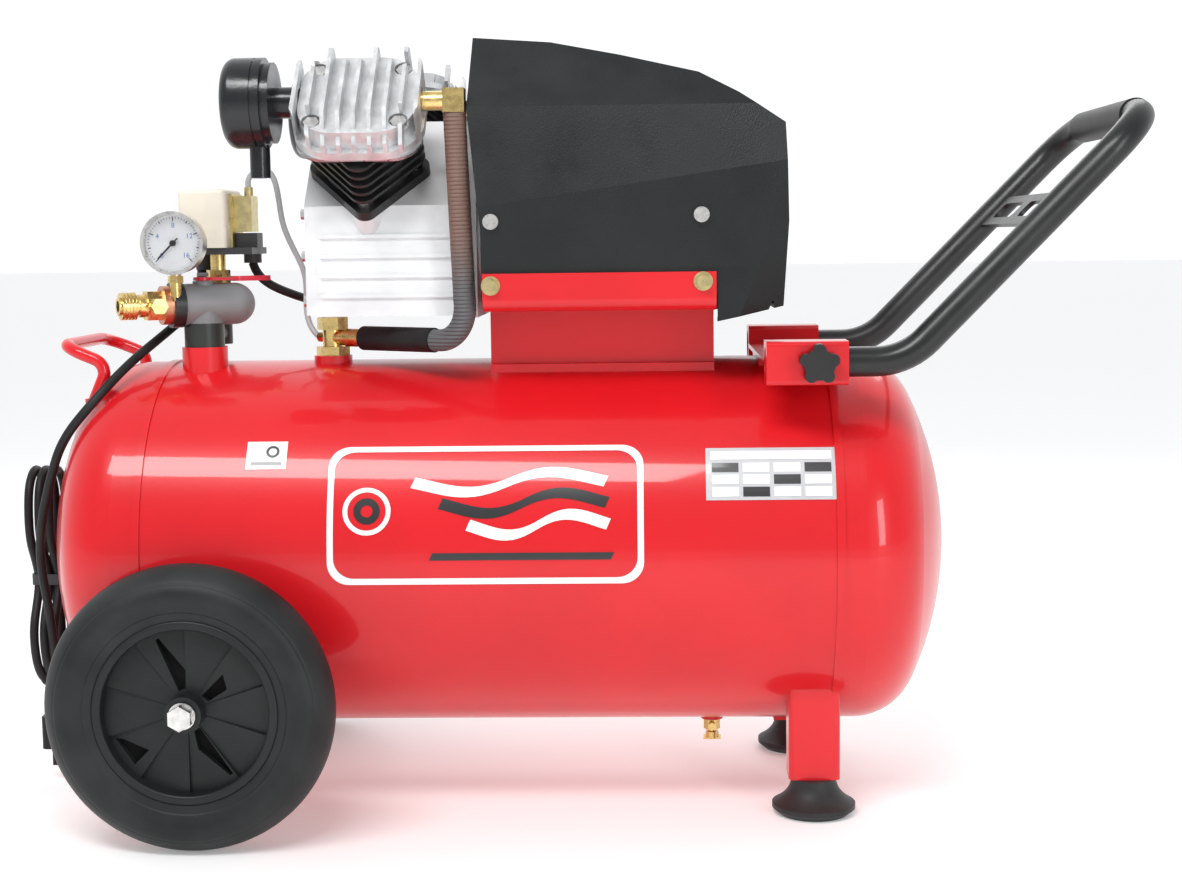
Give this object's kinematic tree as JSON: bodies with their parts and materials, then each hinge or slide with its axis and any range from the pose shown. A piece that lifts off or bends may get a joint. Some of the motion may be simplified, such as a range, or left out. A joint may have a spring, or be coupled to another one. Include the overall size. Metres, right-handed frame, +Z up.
{
  "type": "horizontal tank air compressor",
  "caption": "Portable air compressor: horizontal cylindrical tank on wheels and rubber feet, twin-cylinder direct-drive pump and hooded motor on top, push handle, gauge and outlet valve.",
  "frame": {"origin": "on the floor, at the middle of the machine without its cord", "axes": "+X along the tank from the wheels to the push handle, +Y to the far side, away from the valve lever and gauge, +Z up"},
  "size_m": [0.9835, 0.48, 0.665],
  "materials": {
    "red_paint": "gloss",
    "black_paint": "satin",
    "black_rubber": "matte",
    "tyre_rubber": "matte",
    "black_plastic": "satin",
    "hub_plastic": "satin",
    "grey_plastic": "satin",
    "beige_plastic": "satin",
    "zinc_steel": "satin",
    "cast_aluminium": "cast",
    "cast_iron": "painted black",
    "machined_steel": "ground",
    "laminated_steel": "laminated",
    "brass": "satin",
    "copper": "satin",
    "hose_rubber": "ribbed",
    "gauge_steel": "bright",
    "needle_black": "matte",
    "clear_glass": "clear",
    "clear_tube": "satin",
    "cord_rubber": "satin"
  },
  "bodies": {
    "machine": {"air_filters": "black_plastic", "axles": "zinc_steel", "chassis_brackets": "red_paint", "check_valve": "brass", "cord_hank": "cord_rubber", "crankcase": "cast_aluminium", "crankcase_cover": "cast_aluminium", "crossover_pipe": "copper", "cylinder_heads": "cast_aluminium", "cylinders": "cast_iron", "discharge_elbows": "brass", "discharge_hose": "hose_rubber", "drain_valve": "brass", "end_handle": "red_paint", "foot_bolts": "zinc_steel", "gauge_case": "gauge_steel", "gauge_lens": "clear_glass", "handle_bracket": "red_paint", "hose_sleeve": "cord_rubber", "motor_cable": "cord_rubber", "motor_electrics": "black_plastic", "motor_frame": "cast_aluminium", "motor_saddle": "red_paint", "motor_stator": "laminated_steel", "outlet_collar": "copper", "outlet_coupler": "brass", "pistons": "cast_aluminium", "plug": "cord_rubber", "power_cord": "cord_rubber", "pump_bolts": "zinc_steel", "riser_tee": "black_paint", "rubber_feet": "black_rubber", "shaft_bearings": "machined_steel", "shroud": "black_plastic", "shroud_fasteners": "zinc_steel", "switch_base": "black_plastic", "switch_cover": "beige_plastic", "switch_unloader": "zinc_steel", "tank_heads": "red_paint", "tank_shell": "red_paint", "unloader_tube": "clear_tube", "valve_body": "grey_plastic", "valve_plates": "machined_steel"},
    "wheel_near": {"wheel_hub_near": "hub_plastic", "tyre_near": "tyre_rubber"},
    "wheel_far": {"wheel_hub_far": "hub_plastic", "tyre_far": "tyre_rubber"},
    "rotating_shaft": {"crankshaft": "machined_steel", "motor_rotor": "laminated_steel", "cooling_fan": "grey_plastic"},
    "rods": {"connecting_rods": "cast_aluminium"},
    "push_handle": {"handle_tube": "black_paint", "handle_grip": "black_rubber"},
    "knob_near": {"clamp_knob_near": "black_plastic"},
    "knob_far": {"clamp_knob_far": "black_plastic"},
    "lever": {"valve_lever": "red_paint"},
    "needle": {"gauge_needle": "needle_black"},
    "drain_tap": {"drain_screw": "brass"},
    "sleeve": {"coupler_sleeve": "brass"},
    "pull_ring": {"safety_ring": "zinc_steel"}
  },
  "joints": [
    {"name": "wheel_near_spin", "type": "hinge", "parent": "machine", "child": "wheel_near", "pos_m": [-0.321, -0.202, 0.119], "axis": [0, 1, 0], "continuous": true},
    {"name": "wheel_far_spin", "type": "hinge", "parent": "machine", "child": "wheel_far", "pos_m": [-0.321, 0.202, 0.119], "axis": [0, 1, 0], "continuous": true},
    {"name": "crankshaft_spin", "type": "hinge", "parent": "machine", "child": "rotating_shaft", "pos_m": [-0.177, 0, 0.506], "axis": [1, 0, 0], "continuous": true},
    {"name": "rods_on_crankpin", "type": "hinge", "parent": "rotating_shaft", "child": "rods", "pos_m": [-0.177, -0.01414, 0.52014], "axis": [1, 0, 0], "continuous": true},
    {"name": "handle_slide", "type": "slide", "parent": "machine", "child": "push_handle", "axis": [1, 0, 0], "range_m": [-0.02, 0.04]},
    {"name": "knob_near_turn", "type": "hinge", "parent": "machine", "child": "knob_near", "pos_m": [0.192, -0.16, 0.391], "axis": [0, 1, 0], "range_deg": [-180, 180]},
    {"name": "knob_far_turn", "type": "hinge", "parent": "machine", "child": "knob_far", "pos_m": [0.192, 0.16, 0.391], "axis": [0, 1, 0], "range_deg": [-180, 180]},
    {"name": "lever_turn", "type": "hinge", "parent": "machine", "child": "lever", "pos_m": [-0.34, -0.03, 0.4615], "axis": [0, 0, 1], "range_deg": [-90, 0]},
    {"name": "needle_sweep", "type": "hinge", "parent": "machine", "child": "needle", "pos_m": [-0.3576, -0.061, 0.4947], "axis": [0, 1, 0], "range_deg": [0, 270]},
    {"name": "drain_turn", "type": "hinge", "parent": "machine", "child": "drain_tap", "pos_m": [0.109, 0, 0.04], "axis": [0, 0, 1], "range_deg": [0, 180]},
    {"name": "sleeve_pull", "type": "slide", "parent": "machine", "child": "sleeve", "axis": [0.866, 0.5, 0], "range_m": [0, 0.0025]},
    {"name": "ring_pull", "type": "slide", "parent": "machine", "child": "pull_ring", "axis": [-0.5, 0.866, 0], "range_m": [0, 0.004]}
  ],
  "couplings": [
    {"joint": "rods_on_crankpin", "follows": "crankshaft_spin", "ratio": -1}
  ]
}
